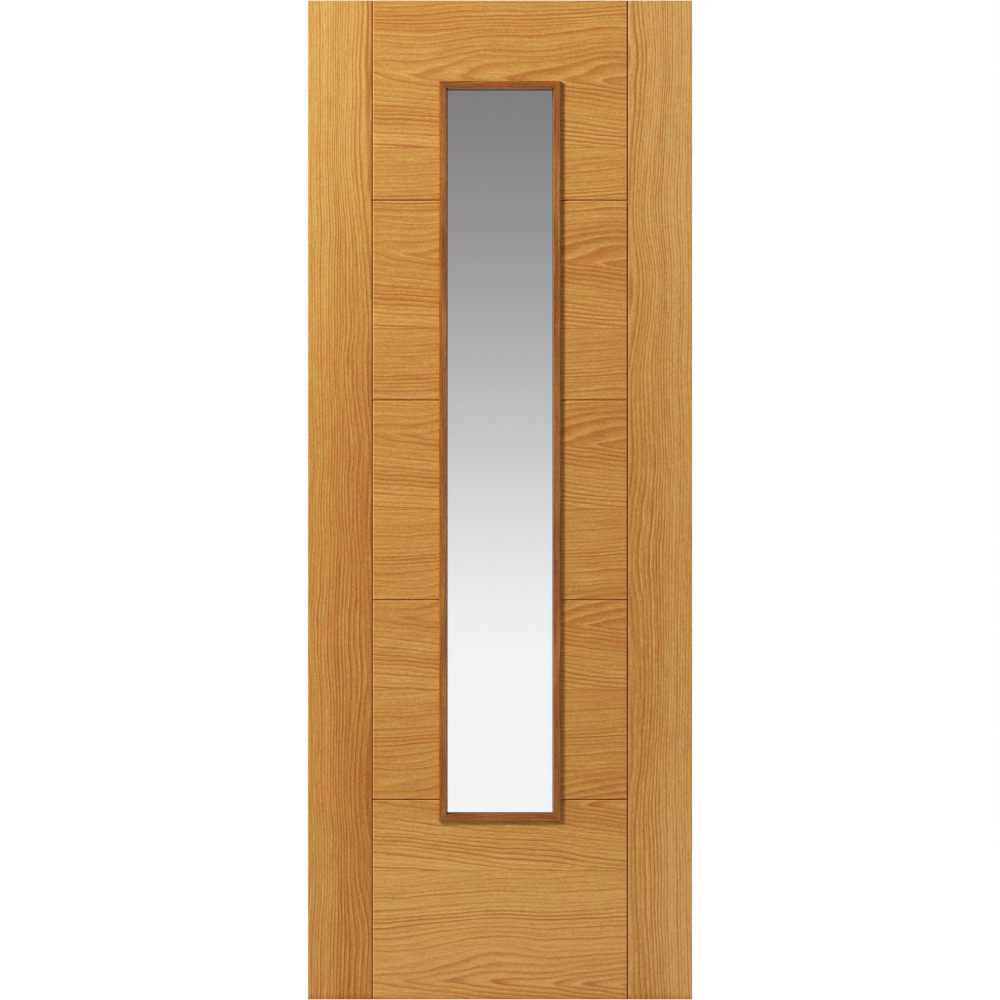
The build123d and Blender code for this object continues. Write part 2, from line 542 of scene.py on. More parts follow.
    def strength(self, graph: Graph, flow: Socket, year: Socket, offset: Socket,
                 cut: Figure) -> tuple[Socket, Socket]:
        """How strongly each year's ring shows, from place to place.

        Args:
            graph: the material's graph.
            flow: the place on the bent leaf.
            year: the number of the ring.
            offset: the bent distance from the heart.
            cut: how the sheet was cut.

        Returns:
            The strength of the late lines, about nought to two, and that of the darker wood beside them,
            which stays as strong in the heart.
        """
        near, far = (share * cut.reach for share in self.heart_out)
        heart = graph.math("MULTIPLY", graph.spread(offset, *self.heart_in, 0.0, cut.soft_heart),
                           graph.spread(offset, near, far, 1.0, 0.0))
        faint, bold = self.vigour
        vigour = graph.math("MULTIPLY_ADD", graph.draw(year), bold - faint, faint)
        patch = graph.math("MULTIPLY_ADD", graph.fleck(flow, self.patch), self.patch_share, 1.0)
        quiet = graph.spread(offset, *cut.quieting, 1.0, cut.quiet)
        broad = graph.math("MULTIPLY", graph.math("MULTIPLY", vigour, patch), quiet)
        broad = graph.math("MULTIPLY", broad, self.ring_share)
        return graph.math("MULTIPLY", broad, graph.math("SUBTRACT", 1.0, heart)), broad

    def ring_marks(self, graph: Graph, count: Socket, strength: Socket,
                   broad: Socket) -> tuple[Socket, Socket, Socket]:
        """Draws the marks of each year.

        Args:
            graph: the material's graph.
            count: the ring count.
            strength: the strength of the late lines.
            broad: the strength of the darker wood beside them.

        Returns:
            The late line, the darker wood on both sides of it, and the pale crest past it.
        """
        share = graph.math("FRACT", count)
        year = graph.math("FLOOR", count)
        rise = graph.spread(share, self.late - self.lead, self.late, 0.0, 1.0)
        fall = graph.spread(share, self.late, self.late + self.trail, 1.0, 0.0)
        soft, sharp = self.sharpness
        chance = graph.draw(graph.math("ADD", year, SHARPNESS_DRAW))
        narrow = graph.math("MULTIPLY_ADD", chance, sharp - soft, soft)
        line = graph.math("POWER", graph.math("MULTIPLY", rise, fall), narrow)
        shoulder = graph.math("MULTIPLY", graph.spread(share, 0.0, self.late, 0.0, 1.0),
                              graph.spread(share, self.late, self.shoulder_end, 1.0, 0.0))
        crest = graph.math("MULTIPLY", graph.spread(share, self.crest_start, self.crest_peak, 0.0, 1.0),
                           graph.spread(share, self.crest_peak, 1.0, 1.0, 0.0))
        crest = graph.math("MULTIPLY", crest, graph.draw(graph.math("ADD", year, CREST_DRAW)))
        return graph.math("MULTIPLY", line, strength), graph.math("MULTIPLY", shoulder, broad), crest

    def shading(self, graph: Graph, along: Socket, offset: Socket, height: Socket, splice: Source,
                cut: Figure) -> Socket:
        """The slow changes of tone over a piece, with painted shade at the foot of the door and a painted
        falloff of light along the grain.

        Args:
            graph: the material's graph.
            along: the place along the grain.
            offset: the bent distance from the heart.
            height: the height up the door.
            splice: the dark line of the splice.
            cut: how the sheet was cut.

        Returns:
            The tone before the grain is drawn.
        """
        # Painted shade darkens the lowest edge of the door
        foot_shade = graph.spread(height, 0.0, self.foot_shade_height, self.foot_shade, 0.0)
        foot = graph.math("ADD", graph.spread(height, *cut.foot_fade, cut.shade_foot, 0.0), foot_shade)
        head = graph.spread(height, *cut.head_fade, 0.0, cut.shade_head)
        tone = graph.math("ADD", graph.math("ADD", foot, head), self.middle_tone + cut.shade)
        end = graph.math("MULTIPLY", graph.spread(offset, *cut.end_fade, 1.0, 0.0),
                         graph.spread(height, *cut.head_fade, *cut.end_shade))
        tone = graph.math("ADD", tone, graph.math("ADD", splice, end))
        # The lean paints a falloff of light, deeper towards the end of its span
        return graph.math("ADD", tone, graph.spread(along, *cut.lean_span, -cut.lean, cut.lean))

    def figure(self, graph: Graph, along: Socket, across: Socket, height: Socket,
               cut: Figure) -> dict[str, Socket]:
        """Draws the growth rings, fibres and pores.

        Args:
            graph: the material's graph.
            along: the place along the grain.
            across: the place across the grain.
            height: the height up the door.
            cut: how the sheet was cut.

        Returns:
            Depth of tone from nought to one, the late lines, the pores, the hairs and the turn of hue
            about one half, by name.
        """
        offset, seed, splice = self.lay_out(graph, across, cut)
        offset = self.bend(graph, along, offset, seed, cut)
        flow = graph.vector(along, offset, seed)
        count = self.rings(graph, flow, along, offset, cut)
        strength, broad = self.strength(graph, flow, graph.math("FLOOR", count), offset, cut)
        line, shoulder, crest = self.ring_marks(graph, count, strength, broad)
        grain = graph.vector(along, across, cut.seed)
        hair = graph.fleck(grain, self.hair)
        layers = (
            (shoulder, self.shoulder_share),
            (crest, -self.crest_share),
            (graph.fleck(graph.vector(along, count, seed), self.comb), self.comb_share),
            (graph.fleck(flow, self.band), self.band_share),
            (graph.fleck(grain, self.fibre), self.fibre_share),
            (hair, self.hair_share),
        )
        tone = self.shading(graph, along, offset, height, splice, cut)
        for layer, share in layers:
            tone = graph.math("MULTIPLY_ADD", layer, share, tone)
        pores = graph.spread(graph.fleck(grain, self.speck), *self.pore_band, 0.0, 1.0)
        hue = NO_TURN + cut.hue
        turn = graph.spread(height, *cut.hue_fade, hue + cut.hue_foot, hue)
        turn = graph.math("MULTIPLY_ADD", graph.fleck(flow, self.blush), self.blush_share, turn)
        return {"tone": tone, "line": line, "pores": pores, "hair": hair, "hue": turn}

    def material(self, name: str, run: Run, cut: Figure, board: "Fibreboard | None" = None,
                 solid: bool = False) -> bpy.types.Material:
        """Makes the wood of one piece.

        Args:
            name: the material's name.
            run: which way the grain runs.
            cut: how the wood was cut.
            board: the board under the veneer of a facing, if any.
            solid: whether the figure also changes through the thickness, as in solid wood.

        Returns:
            The material.
        """
        made, graph, surface = start_material(name)
        place = graph.place()
        axes = graph.axes(place)
        across = axes["X" if run is Run.UPRIGHT else "Z"]
        if solid:
            across = graph.math("ADD", across, axes["Y"])
        drawn = self.figure(graph, axes[run.value], across, axes["Z"], cut)
        stops = ((0.0, self.cream), (self.pale_at, self.pale), (self.warm_at, self.warm), (1.0, self.deep))
        colour = graph.ramp(drawn["tone"], stops)
        for mark, share, tone in (("line", self.rust_share, self.rust),
                                  ("pores", self.pore_share, self.pore)):
            colour = graph.blend(graph.math("MULTIPLY", drawn[mark], share), colour, tone.linear())
        colour = graph.node("HueSaturation", {"Hue": drawn["hue"], "Color": colour}).outputs[0]
        rough = graph.math("MULTIPLY_ADD", drawn["hair"], self.gloss_change, self.gloss)
        pits = graph.math("MULTIPLY", drawn["pores"], self.pore_relief)
        height = graph.math("MULTIPLY_ADD", drawn["hair"], self.hair_relief, pits)
        if board is not None:
            colour, bare = board.show(graph, place, axes, colour)
            rough = graph.choose(bare, rough, board.roughness)
        graph.coat(surface, colour, rough, self.sheen)
        graph.emboss(surface, height, self.relief, self.relief_strength)
        return made


@dataclass(frozen=True)
class Fibreboard:
    """Dense fibreboard under a facing's veneer, bare at its square edges.

    Painted shade darkens the bottom of the grooves, and a painted highlight lightens their arrises. Both are
    placed by their depth below the leaf's face. A surface that turns less than edge_on of itself to that
    face is a square edge.
    """

    pale: Tone = Tone(150, 108, 70)
    deep: Tone = Tone(104, 70, 42)
    veneer: float = 0.7 * MILLIMETRE
    roughness: float = 0.72
    strand: Fleck = Fleck((0.004, 0.0007, 0.004), 5.0, 2.0)
    # Painted shade, deeper with depth in the grooves
    groove_shade: Tone = Tone(150, 60, 60)
    groove_shade_from: float = 1.1 * MILLIMETRE
    groove_shade_to: float = 3.0 * MILLIMETRE
    groove_shade_share: float = 0.66
    # A painted highlight on the arrises of the grooves
    arris_highlight: Tone = Tone(250, 206, 126)
    highlight_from: tuple[float, float] = (0.05 * MILLIMETRE, 0.5 * MILLIMETRE)
    highlight_to: tuple[float, float] = (1.0 * MILLIMETRE, 1.8 * MILLIMETRE)
    highlight_share: float = 0.75
    edge_on: float = 0.3

    def show(self, graph: Graph, place: Socket, axes: dict[str, Socket],
             wood: Socket) -> tuple[Socket, Socket]:
        """Paints shade into the bottom of the grooves and a highlight onto their arrises, and lays the bare
        board over its square edges.

        Args:
            graph: the material's graph.
            place: the place on the piece.
            axes: its parts, by the axis letter.
            wood: the colour of the veneer.

        Returns:
            The colour, and the mask of the bare board.
        """
        face = abs(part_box("front_hinge_stile_facing")[0].y)
        depth = graph.math("SUBTRACT", face, graph.math("ABSOLUTE", axes["Y"]))
        # Painted shade deepens down the groove; a painted highlight lies on the arrises near the face
        groove_shading = graph.spread(depth, self.groove_shade_from, self.groove_shade_to, 0.0, self.groove_shade_share)
        highlight = graph.math("MULTIPLY", graph.spread(depth, *self.highlight_from, 0.0, self.highlight_share),
                         graph.spread(depth, *self.highlight_to, 1.0, 0.0))
        painted_groove = graph.blend(groove_shading, graph.blend(highlight, wood, self.arris_highlight.linear()), self.groove_shade.linear())
        normal = graph.axes(graph.node("NewGeometry").outputs["Normal"])
        square = graph.math("LESS_THAN", graph.math("ABSOLUTE", normal["Y"]), self.edge_on)
        bare = graph.math("MULTIPLY", square, graph.math("GREATER_THAN", depth, self.veneer))
        board = graph.two_tone(graph.fleck(place, self.strand), self.pale, self.deep)
        return graph.blend(bare, painted_groove, board), bare


@dataclass(frozen=True)
class LaminatedTimber:
    """Softwood plies glued face to face, as in a stile's core."""

    early: Tone = Tone(222, 190, 138)
    late: Tone = Tone(176, 128, 78)
    glue: Tone = Tone(110, 66, 38)
    ply: float = 3.0 * MILLIMETRE
    glue_line: float = 0.25 * MILLIMETRE
    glue_share: float = 0.8
    streak: Fleck = Fleck((0.006, 0.0006, 0.05), 2.0, 2.0)
    streak_share: float = 0.35
    ply_tone: float = 0.2
    ply_change: float = 0.5
    roughness: float = 0.8
    sheen: float = 0.2
    relief: float = 0.4 * MILLIMETRE
    relief_strength: float = 0.7

    def material(self, name: str) -> bpy.types.Material:
        """The plies lie parallel to the leaf's faces, with sawn ends.

        Args:
            name: the material's name.

        Returns:
            The material.
        """
        made, graph, surface = start_material(name)
        place = graph.place()
        plies = graph.math("DIVIDE", graph.axes(place)["Y"], self.ply)
        chance = graph.draw(graph.math("FLOOR", plies))
        streak = graph.fleck(place, self.streak)
        tone = graph.math("MULTIPLY_ADD", chance, self.ply_change, self.ply_tone)
        tone = graph.math("MULTIPLY_ADD", streak, self.streak_share, tone)
        wood = graph.ramp(tone, ((0.0, self.early), (1.0, self.late)))
        seam = graph.math("LESS_THAN", graph.math("FRACT", plies), self.glue_line / self.ply)
        colour = graph.blend(graph.math("MULTIPLY", seam, self.glue_share), wood, self.glue.linear())
        graph.coat(surface, colour, self.roughness, self.sheen)
        graph.emboss(surface, streak, self.relief, self.relief_strength)
        return made


@dataclass(frozen=True)
class ParticleBoard:
    """Pressed wood chips, as in the core between the stiles."""

    pale: Tone = Tone(208, 172, 120)
    deep: Tone = Tone(120, 82, 48)
    chip: float = 3.2 * MILLIMETRE
    stretch: tuple[float, float, float] = (0.45, 1.0, 0.6)
    dust: Fleck = Fleck((0.0012, 0.0008, 0.0012), 4.0, 2.0)
    dust_share: float = 0.3
    dust_relief: float = 0.4
    roughness: float = 0.85
    sheen: float = 0.15
    relief: float = 0.5 * MILLIMETRE
    relief_strength: float = 0.8

    def material(self, name: str) -> bpy.types.Material:
        """Chips of mixed size and colour.

        Args:
            name: the material's name.

        Returns:
            The material.
        """
        made, graph, surface = start_material(name)
        place = graph.place()
        shape = graph.node("VectorMath", {0: place, 1: self.stretch}, operation="MULTIPLY").outputs[0]
        chips = graph.node("TexVoronoi", {"Vector": shape, "Scale": 1 / self.chip, "Randomness": 1.0})
        hue = graph.axes(chips.outputs["Color"])["X"]
        dust = graph.fleck(place, self.dust)
        tone = graph.math("MULTIPLY_ADD", dust, self.dust_share, hue)
        height = graph.math("MULTIPLY_ADD", dust, self.dust_relief, hue)
        colour = graph.ramp(tone, ((0.0, self.pale), (1.0, self.deep)))
        graph.coat(surface, colour, self.roughness, self.sheen)
        graph.emboss(surface, height, self.relief, self.relief_strength)
        return made


@dataclass(frozen=True)
class CeramicTape:
    """Brown ceramic fibre glazing tape."""

    pale: Tone = Tone(146, 98, 58)
    deep: Tone = Tone(108, 68, 38)
    fibres: Fleck = Fleck((0.0014, 0.0006, 0.0014), 6.0, 3.0)
    roughness: float = 0.9
    sheen: float = 0.1
    relief: float = 0.2 * MILLIMETRE
    relief_strength: float = 0.6

    def material(self, name: str) -> bpy.types.Material:
        """Matted fibres with a faint relief.

        Args:
            name: the material's name.

        Returns:
            The material.
        """
        made, graph, surface = start_material(name)
        fibres = graph.fleck(graph.place(), self.fibres)
        colour = graph.two_tone(fibres, self.pale, self.deep)
        graph.coat(surface, colour, self.roughness, self.sheen)
        graph.emboss(surface, fibres, self.relief, self.relief_strength)
        return made


@dataclass(frozen=True)
class FireGlass:
    """Clear polished fire glass with the faint waver of a drawn sheet."""

    tint: Tone = Tone(252, 252, 252)
    index: float = 1.5
    waver: Fleck = Fleck((0.11, 1.0, 0.23), 8.0, 0.0)
    waver_height: float = 0.02 * MILLIMETRE
    waver_strength: float = 0.3
    haze: Fleck = Fleck((0.03, 1.0, 0.05), 9.0, 2.0)
    haze_band: tuple[float, float] = (-0.4, 0.6)
    haze_most: float = 0.012

    def material(self, name: str) -> bpy.types.Material:
        """A see-through pane.

        Args:
            name: the material's name.

        Returns:
            The material.
        """
        made, graph, surface = start_material(name)
        place = graph.place()
        graph.emboss(surface, graph.fleck(place, self.waver), self.waver_height, self.waver_strength)
        haze = graph.spread(graph.fleck(place, self.haze), *self.haze_band, 0.0, self.haze_most)
        graph.feed(surface.inputs["Roughness"], haze)
        surface.inputs["Base Color"].default_value = self.tint.linear()
        surface.inputs["Transmission Weight"].default_value = 1.0
        surface.inputs["IOR"].default_value = self.index
        return made


@dataclass(frozen=True)
class Stopping:
    """Tinted wood filler over the head of a punched pin."""

    pale: Tone = Tone(150, 94, 48)
    deep: Tone = Tone(112, 62, 30)
    mottle: Fleck = Fleck((0.0006, 0.0006, 0.0009), 12.0, 2.0)
    roughness: float = 0.62
    rough_change: float = 0.08
    sheen: float = 0.15

    def material(self, name: str) -> bpy.types.Material:
        """Mottled filler, duller than the wood round it.

        Args:
            name: the material's name.

        Returns:
            The material.
        """
        made, graph, surface = start_material(name)
        mottle = graph.fleck(graph.place(), self.mottle)
        rough = graph.math("MULTIPLY_ADD", mottle, self.rough_change, self.roughness)
        graph.coat(surface, graph.two_tone(mottle, self.pale, self.deep), rough, self.sheen)
        return made


def start_material(name: str) -> tuple[bpy.types.Material, Graph, bpy.types.Node]:
    """Starts a material with one surface shader.

    Args:
        name: the material's name.

    Returns:
        The material, its graph and the surface shader.
    """
    made = bpy.data.materials.new(name)
    made.use_nodes = True
    graph = Graph(made.node_tree)
    surface = graph.node("BsdfPrincipled")
    output = graph.node("OutputMaterial")
    graph.tree.links.new(surface.outputs[0], output.inputs["Surface"])
    return made, graph, surface


def dress(node: bpy.types.Object, material: bpy.types.Material) -> None:
    """Gives a piece its finish and reports it.

    Args:
        node: the piece.
        material: its material.
    """
    node.data.materials.clear()
    node.data.materials.append(material)
    log.info("%s: %s", node.name, material.name)


OAK = Timber(
    cream=Tone(228, 177, 97), pale=Tone(211, 154, 75), warm=Tone(199, 134, 61), deep=Tone(179, 102, 44),
    rust=Tone(182, 103, 45), pore=Tone(160, 92, 41),
)
STILE_OAK = replace(
    OAK, deep=Tone(174, 99, 42), rust=Tone(174, 96, 40), ring_share=1.14, vigour=(0.42, 1.10),
    comb_share=0.28, fibre_share=0.36, band_share=0.06, patch_share=0.4,
)
LOCK_STILE_OAK = replace(STILE_OAK, cream=Tone(228, 179, 108), pale=Tone(211, 155, 79))
LIPPING_OAK = Timber(
    cream=Tone(226, 172, 97), pale=Tone(208, 149, 74), warm=Tone(192, 130, 60), deep=Tone(168, 101, 43),
    rust=Tone(174, 99, 41), pore=Tone(150, 90, 40),
)
BEAD_WOOD = Timber(
    cream=Tone(190, 130, 61), pale=Tone(165, 106, 50), warm=Tone(147, 88, 40), deep=Tone(112, 60, 26),
    rust=Tone(148, 72, 27), pore=Tone(100, 54, 24), gloss=0.45, sheen=0.10, band_share=0.55, rust_share=0.6,
    band=Fleck((0.16, 0.011, 1.0), 23.3),
)

# A stile is one leaf with its heart just past the groove and close lines at its outer edge
HINGE_STILE_CUT = Figure(
    heart=0.006, wide=0.0098, close=0.0061, tight=0.0092, reach=0.050, tips=0.50, open_side=-1, sway=0.012,
    hump=0.024, hump_out=(0.03, 0.10), level_off=0.1, crowding=0.45, soft_heart=0.0, quiet=0.65,
    quieting=(0.06, 0.12), end_shade=(0.26, 0.04), end_fade=(0.01, 0.11), seed=30.0, shade=0.07,
    shade_foot=-0.12, foot_fade=(0.05, 0.38), shade_head=-0.34, hue=0.002, hue_foot=-0.005,
)
LOCK_STILE_CUT = replace(
    HINGE_STILE_CUT, heart=-0.006, tips=0.45, open_side=1, end_shade=(0.24, 0.08), seed=32.3, shade=-0.08,
    shade_foot=-0.20, foot_fade=(0.15, 0.65), shade_head=-0.18, hue=0.001, hue_foot=-0.004,
)
# The panels of a face are cut from one sheet of spliced leaves that runs through their grooves
# Its lean paints the light's falloff from the hinge side to the lock side
PANEL_CUT = Figure(
    heart=0.139, wide=0.020, close=0.0080, tight=0.0085, reach=0.080, leaf=0.3585, splice=0.2555, hump=0.032,
    crinkle=0.0036, quiet=0.5, end_shade=(-0.16, -0.16), seed=12.0, shade=0.06, shade_foot=-0.34,
    foot_fade=(0.10, 0.46), shade_head=-0.08, head_fade=(1.45, 1.65), lean=0.03, hue_foot=-0.007,
)
# The hearts of the sticks lie outside them, so their rings run straight
LIPPING_CUT = Figure(heart=-0.06, wide=0.006, close=0.005, tight=0.005, tips=0.9, sway=0.003, seed=41.0)
BEAD_CUT = Figure(
    heart=-0.05, wide=0.005, close=0.0045, tight=0.005, tips=0.35, sway=0.003, crinkle=0.001, seed=60.0,
)
BLOCK_CUT = Figure(heart=0.2, wide=0.005, close=0.0045, tight=0.005, seed=77.0)

# The lock stile's grooves take a wider, darker painted shade and a stronger painted highlight
LOCK_STILE_BOARD = Fibreboard(
    groove_shade_from=0.7 * MILLIMETRE, groove_shade_to=1.7 * MILLIMETRE, groove_shade_share=0.8,
    highlight_to=(0.7 * MILLIMETRE, 1.2 * MILLIMETRE), highlight_share=1.0,
)


@dataclass
class Facings:
    """The veneered stiles and ladder panels of both faces.

    Each stile has its edge of the leaf, its wood, its cut and the board under its veneer.
    """

    nodes: dict[str, bpy.types.Object]
    stiles: tuple[tuple[str, Timber, Figure, Fibreboard], ...] = (
        ("hinge", STILE_OAK, HINGE_STILE_CUT, Fibreboard()),
        ("lock", LOCK_STILE_OAK, LOCK_STILE_CUT, LOCK_STILE_BOARD),
    )
    stile_seed_step: int = 7
    panel_wood: Timber = OAK
    panel_cut: Figure = PANEL_CUT
    # The panels' grooves take a lighter painted shade
    panel_board: Fibreboard = Fibreboard(groove_shade_share=0.62)
    panel_seed_step: int = 5

    def dress(self) -> None:
        """Finishes every facing, with one sheet of level veneer shared by a face's panels."""
        for face in Face:
            for edge, wood, cut, board in self.stiles:
                name = f"{face.word}_{edge}_stile_facing"
                low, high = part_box(f"{face.word}_{edge}_stile_facing")
                groove = high.x if cut.open_side < 0 else low.x
                leaf = cut.at(groove, self.stile_seed_step * face.value)
                dress(self.nodes[name], wood.material(f"oak_{name}", Run.UPRIGHT, leaf, board))
            leaves = self.panel_cut.at(0.0, self.panel_seed_step * face.value)
            sheet = self.panel_wood.material(f"oak_{face.word}_panels", Run.LEVEL, leaves, self.panel_board)
            for name in sorted(self.nodes):
                if name.startswith(f"{face.word}_panel_"):
                    dress(self.nodes[name], sheet)


@dataclass
class LeafCore:
    """The lippings on the long edges and the core between the facings."""

    nodes: dict[str, bpy.types.Object]
    lipping: Timber = LIPPING_OAK
    lipping_cut: Figure = LIPPING_CUT
    stile: LaminatedTimber = LaminatedTimber()
    board: ParticleBoard = ParticleBoard()

    def dress(self) -> None:
        """Finishes the lippings, the stile cores and the boards between them."""
        for number, edge in enumerate(("hinge", "lock")):
            name = f"{edge}_edge_lipping"
            low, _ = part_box(name)
            cut = self.lipping_cut.at(low.x, number)
            stick = self.lipping.material(f"oak_{name}", Run.UPRIGHT, cut, solid=True)
            dress(self.nodes[name], stick)
        plies = self.stile.material("laminated_stile_core")
        chips = self.board.material("particle_board_core")
        for name in sorted(self.nodes):
            if name.endswith("_stile_core"):
                dress(self.nodes[name], plies)
            elif name.endswith("_core"):
                dress(self.nodes[name], chips)


@dataclass
class Glazing:
    """The pane, its tape and beads, and the pins that hold the beads.

    Each bead has its place, the way it runs, and a change of tone and of hue; the top bead's tone is
    deepened partly as painted shade, against the stronger light at the top of the leaf. The height of the
    pins is a share of the bead's rise from the glass.
    """

    nodes: dict[str, bpy.types.Object]
    wood: Timber = BEAD_WOOD
    tape: CeramicTape = CeramicTape()
    glass: FireGlass = FireGlass()
    stopping: Stopping = Stopping()
    beads: tuple[tuple[str, Run, float, float], ...] = (
        # The top bead's deeper tone is partly painted shade against the stronger light at the top
        ("top", Run.LEVEL, 0.18, -0.004),
        ("bottom", Run.LEVEL, 0.10, -0.007),
        ("hinge_side", Run.UPRIGHT, 0.0, 0.0),
        ("lock_side", Run.UPRIGHT, -0.02, 0.0),
    )
    bead_cut: Figure = BEAD_CUT
    bead_seed_step: int = 5
    bead_splay: float = 2.0 * MILLIMETRE
    block_cut: Figure = BLOCK_CUT
    pin_radius: float = 0.8 * MILLIMETRE
    pin_sides: int = 16
    pin_head: float = 0.5 * MILLIMETRE
    pin_rim: float = 0.16 * MILLIMETRE
    pin_rim_segments: int = 2
    pin_dimple_wall: float = 0.28 * MILLIMETRE
    pin_dimple_depth: float = 0.075 * MILLIMETRE
    pin_proud: float = 0.15 * MILLIMETRE
    pin_pitch: float = 0.150
    pin_height: float = 0.55
    facing_up: float = 0.9
    level_within: float = 0.0001 * MILLIMETRE
    smooth_below: float = math.radians(35)

    def dress(self) -> None:
        """Finishes the beads along their own length, and the tape, blocks and pane."""
        for face in Face:
            for place, run, shade, hue in self.beads:
                name = f"{face.word}_bead_{place}"
                low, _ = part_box(name)
                edge = low.z if run is Run.LEVEL else low.x
                cut = self.bead_cut.at(edge, len(place) + self.bead_seed_step * face.value)
                cut = replace(cut, shade=shade, hue=hue)
                stick = self.wood.material(f"hardwood_{name}", run, cut, solid=True)
                dress(self.nodes[name], stick)
            dress(self.nodes[f"{face.word}_glazing_tape"], self.tape.material(f"tape_{face.word}"))
        dress(self.nodes["fire_glass_pane"], self.glass.material("clear_fire_glass"))
        blocks = self.wood.material("hardwood_setting_blocks", Run.LEVEL, self.block_cut, solid=True)
        dress(self.nodes["glazing_setting_blocks"], blocks)

    def pin_places(self, face: Face) -> list[tuple[Vector, Vector]]:
        """Works out where the pins go: evenly along each bead, on its sloping inner side.

        Args:
            face: which face's beads to pin.

        Returns:
            The middle of each pin's seat, and the way that its head faces.
        """
        low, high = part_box(f"{face.word}_bead_hinge_side")
        rise = high.y - low.y
        foot = min(abs(low.y), abs(high.y))
        step = face.value * (foot + rise * self.pin_height)
        out = self.bead_splay * self.pin_height
        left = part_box(f"{face.word}_bead_hinge_side")[1].x
        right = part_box(f"{face.word}_bead_lock_side")[0].x
        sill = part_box(f"{face.word}_bead_bottom")[1].z
        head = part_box(f"{face.word}_bead_top")[0].z
        lean = face.value * self.bead_splay / rise
        places = []
        for z in self.spaced(sill, head):
            places.append((Vector((left - out, step, z)), Vector((1, lean, 0))))
            places.append((Vector((right + out, step, z)), Vector((-1, lean, 0))))
        for x in self.spaced(left, right):
            places.append((Vector((x, step, sill - out)), Vector((0, lean, 1))))
            places.append((Vector((x, step, head + out)), Vector((0, lean, -1))))
        return [(place, way.normalized()) for place, way in places]

    def spaced(self, low: float, high: float) -> list[float]:
        """Even places between two corners, no further apart than the pins' pitch.

        Args:
            low: one corner.
            high: the other corner.

        Returns:
            The places, half a step in from each corner.
        """
        count = math.ceil((high - low) / self.pin_pitch)
        step = (high - low) / count
        return [low + step * (index + 0.5) for index in range(count)]

    def pin_master(self) -> bpy.types.Object:
        """Models one pin head: a short disc with a rounded rim and a punched dimple.

        Returns:
            The pin head, facing up, with its underside on the floor of its own axes.
        """
        bpy.ops.object.select_all(action="DESELECT")
        bpy.ops.mesh.primitive_cylinder_add(
            vertices=self.pin_sides, radius=self.pin_radius, depth=self.pin_head,
            location=(0, 0, self.pin_head / 2))
        head = bpy.context.object
        bpy.ops.object.mode_set(mode="EDIT")
        bpy.ops.mesh.select_all(action="DESELECT")
        bpy.ops.object.mode_set(mode="OBJECT")
        for polygon in head.data.polygons:
            polygon.select = polygon.normal.z > self.facing_up
        bpy.ops.object.mode_set(mode="EDIT")
        bpy.ops.mesh.bevel(offset=self.pin_rim, segments=self.pin_rim_segments, affect="EDGES")
        bpy.ops.mesh.select_all(action="DESELECT")
        bpy.ops.object.mode_set(mode="OBJECT")
        top = max(polygon.center.z for polygon in head.data.polygons)
        for polygon in head.data.polygons:
            upmost = abs(polygon.center.z - top) < self.level_within
            polygon.select = polygon.normal.z > self.facing_up and upmost
        bpy.ops.object.mode_set(mode="EDIT")
        bpy.ops.mesh.inset(thickness=self.pin_dimple_wall, depth=-self.pin_dimple_depth)
        bpy.ops.object.mode_set(mode="OBJECT")
        return head

    def build_pins(self, face: Face) -> None:
        """Sets a pin head at each place on one face's beads, as one joined piece.

        Args:
            face: which face's beads to pin.
        """
        master = self.pin_master()
        copies = []
        for place, way in self.pin_places(face):
            copy = master.copy()
            copy.data = master.data.copy()
            bpy.context.scene.collection.objects.link(copy)
            sunk = place - way * (self.pin_head - self.pin_proud)
            copy.matrix_world = Matrix.Translation(sunk) @ way.to_track_quat("Z", "Y").to_matrix().to_4x4()
            copies.append(copy)
        bpy.data.objects.remove(master)
        bpy.ops.object.select_all(action="DESELECT")
        for copy in copies:
            copy.select_set(True)
        bpy.context.view_layer.objects.active = copies[0]
        bpy.ops.object.join()
        bpy.ops.object.transform_apply(location=True, rotation=True, scale=True)
        bpy.ops.object.shade_smooth_by_angle(angle=self.smooth_below)
        pins = bpy.context.object
        pins.name = f"{face.word}_bead_pins"
        dress(pins, self.stopping.material(f"stopping_{pins.name}"))
        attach(pins, "root")


@dataclass(frozen=True)
class Lamp:
    """A round soft lamp: the way to it from the leaf's middle, how far off it hangs, its size and power."""

    name: str
    way: tuple[float, float, float]
    distance: float
    size: float
    power: float

    def hang(self, middle: Vector) -> None:
        """Hangs the lamp so that it faces the leaf.

        Args:
            middle: the middle of the leaf.
        """
        way = Vector(self.way).normalized()
        data = bpy.data.lights.new(self.name, "AREA")
        data.shape = "DISK"
        data.size = self.size
        data.energy = self.power
        lamp = bpy.data.objects.new(self.name, data)
        lamp.location = middle + way * self.distance
        lamp.rotation_mode = "QUATERNION"
        lamp.rotation_quaternion = way.to_track_quat("Z", "Y")
        bpy.context.scene.collection.objects.link(lamp)


